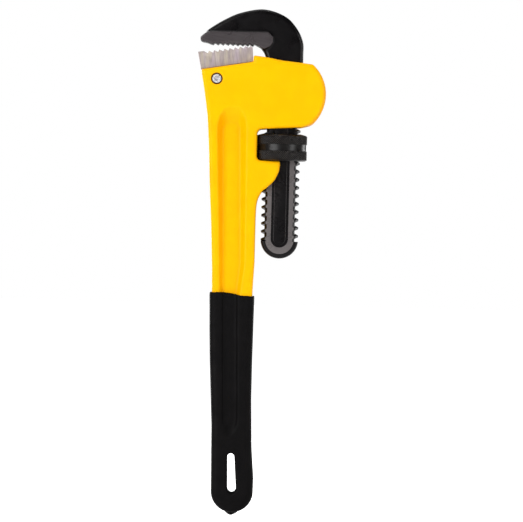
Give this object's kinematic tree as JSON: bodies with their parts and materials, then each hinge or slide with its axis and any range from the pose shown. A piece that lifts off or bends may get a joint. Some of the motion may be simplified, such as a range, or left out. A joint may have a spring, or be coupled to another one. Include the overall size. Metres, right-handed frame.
{
  "type": "pipe wrench",
  "caption": "Adjustable pipe wrench with a straight I-beam handle in a dipped grip, a toothed heel jaw, and a hook jaw on a threaded shank set by a knurled nut.",
  "frame": {"origin": "the middle of the grip, where a hand holds the wrench, half way through its thickness", "axes": "+Z along the threaded shank towards the head, +X from the jaws' open side towards the head's rounded bulge, +Y across the thickness"},
  "size_m": [0.0765, 0.0304, 0.3011],
  "materials": {
    "yellow_enamel": "glossy yellow enamel over a cast iron body",
    "black_grip": "matte dipped vinyl",
    "ground_steel": "surface ground steel, bare",
    "bright_pin": "bright plated spring pin",
    "black_forging": "black oxide forging with ground steel lands",
    "black_nut": "black oxide, knurled",
    "spring_steel": "blued spring steel"
  },
  "bodies": {
    "handle": {"handle_body": "yellow_enamel", "grip_sleeve": "black_grip", "heel_jaw": "ground_steel", "heel_jaw_pin": "bright_pin", "coil_spring": "spring_steel"},
    "rocker": {"flat_spring": "spring_steel", "spring_rivet": "spring_steel"},
    "hook": {"hook_jaw": "black_forging"},
    "nut": {"adjusting_nut": "black_nut"}
  },
  "joints": [
    {"name": "jaw_rock", "type": "hinge", "parent": "handle", "child": "rocker", "pos_m": [0.026, 0, 0.1535], "axis": [0, 1, 0], "range_deg": [0, 1.5], "stiffness_Nm_per_rad": 6, "springref_deg": -5.73, "deforming": ["coil_spring"]},
    {"name": "jaw_slide", "type": "slide", "parent": "rocker", "child": "hook", "axis": [0, 0, 1], "range_m": [0, 0.0475]},
    {"name": "nut_spin", "type": "hinge", "parent": "rocker", "child": "nut", "pos_m": [0.026, 0, 0.1535], "axis": [0, 0, 1], "range_deg": [-3565, 0]}
  ],
  "couplings": [
    {"joint": "nut_spin", "follows": "jaw_slide", "rad_per_m": -1309}
  ]
}
